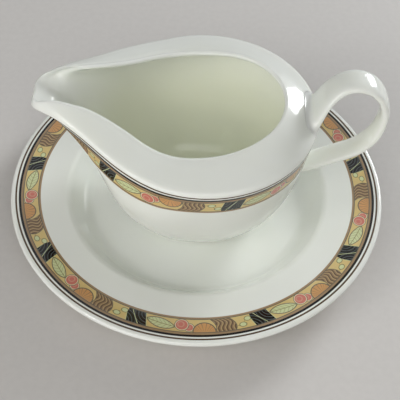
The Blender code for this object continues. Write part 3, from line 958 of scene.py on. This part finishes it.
def stand_border(start, place, ground, grain):
    """The print on the flange: lines and figures by the distance from the stand's axis."""
    x, y, z = (place.axis(name) for name in "XYZ")
    turn = start.maths("ARCTAN2", y, x) / (2 * math.pi) + STAND_TURN
    printed = print_over(ground, STAND_LINE - reach(x, y) * MM, turn * STAND_REPEATS, grain)
    return z.above(STAND_PRINT_ABOVE, STAND_PRINT_SOFT).over(printed, ground)


def boat_border(start, place, ground, grain):
    """Painted light on the inside and the print below the shoulder edge, laid out by the print map."""
    print_map = start.node("ShaderNodeUVMap", {"uv_map": "print"})
    along, down = (print_map.axis(name) for name in "XY")
    # Painted light: the inside glaze is lighter than the outside and turns greener toward the floor as
    # painted bounce light.
    painted_inside_light = down.rising(*PAINTED_BOUNCE_RANGE).over(INSIDE_PAINTED_BOUNCE, INSIDE_PAINTED_LIGHT)
    ground = down.below(INSIDE_PAINTED_LIGHT_START, INSIDE_PAINTED_LIGHT_SOFT).over(painted_inside_light, ground)
    return print_over(ground, down * MM, along * BOAT_REPEATS + BOAT_TURN, grain)


# ---------------------------------------------------------------- pieces

def make_stand():
    angles = np.linspace(0.0, 2 * math.pi, STAND_SIDES, endpoint=False)
    rings = []
    for radius, height in stand_profile():
        rings.append(np.column_stack([radius * np.cos(angles), radius * np.sin(angles),
                                      np.full(STAND_SIDES, height)]))
    finish = china("stand glaze and border", WHITE, WARM, GLAZE_END, stand_border)
    piece = closed_piece("round_stand", rings, finish, (0, 0, STAND_FOOT_HEIGHT), (0, 0, WELL_FLOOR))
    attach(piece, "stand")
    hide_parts("stand_plate")


def make_boat():
    """The cast body. Its outer wall goes back, for the handle to meet."""
    points, normals = outline()
    outside, below = outer_rings(points, normals)
    rings = refined(outside + inner_rings(points, normals), RING_PARTS)
    rings = eased(rings, (len(outside) + 1) * RING_PARTS)
    edge_ring = (below - 1) * RING_PARTS
    crest_ring = (len(outside) - 1) * RING_PARTS
    step = np.linalg.norm(np.diff(np.array(rings), axis=0), axis=2)
    run = np.vstack([np.zeros(len(points)), np.cumsum(step, axis=0)])
    down = run[edge_ring] - run
    down[crest_ring + 1:] = run[crest_ring] - run[crest_ring + 1:] - INSIDE_SHIFT
    closed = np.vstack([rings[edge_ring], rings[edge_ring][:1]])
    along = np.concatenate([[0.0], np.cumsum(np.linalg.norm(np.diff(closed, axis=0), axis=1))])
    along = along / along[-1]
    finish = china("boat glaze and border", WHITE, WARM, BOAT_REST + GLAZE_END, boat_border)
    under = (FOOT_CENTRE_X, 0.0, UNDERSIDE)
    floor = (FOOT_CENTRE_X, 0.0, BELLY_BASE + FLOOR_THICKNESS)
    piece = closed_piece("cast_boat", rings, finish, under, floor, (along, down))
    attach(piece, "boat")
    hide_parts("boat_body")
    vertices, faces = skin(rings[RINGS_BELOW_HANDLE * RING_PARTS:crest_ring + 1])
    return BVHTree.FromPolygons([tuple(v) for v in vertices], faces)


def make_handle(wall):
    rings, middles = strap_rings(wall)
    finish = china("handle glaze", WHITE, WARM, NO_FOOT)
    piece = closed_piece("strap_handle", rings, finish, middles[0], middles[1])
    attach(piece, "boat")
    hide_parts("boat_handle")


# ---------------------------------------------------------------- studio

PAPER = shade(214, 211, 208)
PAPER_FIBRE = shade(210, 207, 204)
FLOOR_HALF = 4.0

# Far from the pieces the floor turns into a backdrop, for the rays that see it.
BACKDROP = shade(198, 196, 194)
BACKDROP_RANGE = (0.32, 0.95)

# Strength of the world: what falls on the china, and what is seen of it.
WORLD_COLOUR = (0.97, 0.985, 1.0, 1.0)
WORLD_STRENGTHS = (0.07, 0.68)

# Softboxes: direction from the boat, distance, width and height in metres, watts and colour.
LIT_PLACE = Vector((0.0, 0.0, 0.05))
WARM_LIGHT = (1.0, 0.99, 0.97)
SOFTBOXES = {
    "upper_left": ((-0.59, -0.13, 0.72), 1.1, 0.9, 0.9, 0.6, WARM_LIGHT),
    "front": ((0.10, -0.72, 0.68), 1.4, 1.3, 1.1, 6.3, WARM_LIGHT),
    "low_front": ((-0.45, -0.86, 0.22), 1.4, 1.0, 0.6, 2.6, WARM_LIGHT),
    "front_left": ((-0.65, -0.60, 0.47), 1.4, 1.0, 0.8, 6.0, WARM_LIGHT),
    "front_right": ((0.65, -0.60, 0.47), 1.4, 1.0, 0.8, 1.0, WARM_LIGHT),
    "back_right": ((0.63, 0.69, 0.50), 1.4, 1.0, 1.0, 2.4, (0.98, 0.99, 1.0)),
    "window": ((0.633, 0.691, 0.350), 1.2, 0.40, 0.38, 8.6, (0.96, 0.985, 1.0)),
    "lamp": ((-0.66, -0.50, 0.50), 1.2, 0.08, 0.08, 0.7, (1.0, 0.98, 0.95)),
}

# Camera, from the ellipses of the stand in the photo.
CAMERA_PLACE = (0.002019, -0.358697, 0.441361)
CAMERA_RIGHT = (0.999153, 0.0317, 0.026219)
CAMERA_UP = (-0.041138, 0.769922, 0.63681)
CAMERA_BACK = (0.0, -0.63735, 0.770575)
CAMERA_LENS = 87.3
CAMERA_SENSOR = 36.0
CAMERA_CLIP = 0.01


def rays_seen(start):
    """1 for what the camera sees, straight or in the glaze, and 0 for the light on the china."""
    path = [start.node("ShaderNodeLightPath", result=name)
            for name in ("Is Camera Ray", "Is Glossy Ray", "Is Transmission Ray")]
    return path[0].most(path[1]).most(path[2])


def make_floor():
    material = bpy.data.materials.new("pale paper")
    start = blank(material)
    place = start.node("ShaderNodeTexCoord", result="Object")
    fibre = start.node("ShaderNodeTexNoise", None, {"Vector": place, "Scale": 260.0, "Detail": 4.0})
    colour = fibre.above(0.5, 0.3).over(PAPER, PAPER_FIBRE)
    paper = start.node("ShaderNodeBsdfPrincipled", None, {"Base Color": colour, "Roughness": 0.85})
    far = reach(place.axis("X"), place.axis("Y")).rising(*BACKDROP_RANGE)
    backdrop = start.node("ShaderNodeEmission", None, {"Color": BACKDROP})
    shader = start.node("ShaderNodeMixShader", None, {0: far * rays_seen(start), 1: paper, 2: backdrop})
    start.node("ShaderNodeOutputMaterial", None, {"Surface": shader})
    mesh = bpy.data.meshes.new("floor")
    corners = [(-1, -1), (1, -1), (1, 1), (-1, 1)]
    mesh.from_pydata([(FLOOR_HALF * x, FLOOR_HALF * y, 0) for x, y in corners], [], [(0, 1, 2, 3)])
    mesh.materials.append(material)
    floor = bpy.data.objects.new("floor", mesh)
    bpy.context.collection.objects.link(floor)


def softbox(name, way, distance, width, height, power, colour):
    """Area lamp in the direction given, turned toward the boat."""
    lamp = bpy.data.lights.new(name, 'AREA')
    lamp.shape = 'RECTANGLE'
    lamp.size = width
    lamp.size_y = height
    lamp.energy = power
    lamp.color = colour
    thing = bpy.data.objects.new(name, lamp)
    way = Vector(way).normalized()
    thing.location = LIT_PLACE + way * distance
    thing.rotation_euler = way.to_track_quat('Z', 'Y').to_euler()
    bpy.context.collection.objects.link(thing)


def light_studio():
    world = bpy.data.worlds.new("studio")
    bpy.context.scene.world = world
    start = blank(world)
    strength = rays_seen(start).spread(*WORLD_STRENGTHS)
    light = start.node("ShaderNodeBackground", None, {"Color": WORLD_COLOUR, "Strength": strength})
    start.node("ShaderNodeOutputWorld", None, {"Surface": light})
    for name, settings in SOFTBOXES.items():
        softbox(name, *settings)


def place_camera():
    camera = bpy.data.cameras.new("camera")
    camera.sensor_width = CAMERA_SENSOR
    camera.lens = CAMERA_LENS
    camera.clip_start = CAMERA_CLIP
    thing = bpy.data.objects.new("camera", camera)
    turn = Matrix((CAMERA_RIGHT, CAMERA_UP, CAMERA_BACK)).transposed().to_4x4()
    thing.matrix_world = Matrix.Translation(CAMERA_PLACE) @ turn
    bpy.context.collection.objects.link(thing)
    bpy.context.scene.camera = thing


place_camera()
make_stand()
make_handle(make_boat())
make_floor()
light_studio()
bpy.context.scene.view_settings.view_transform = 'Standard'
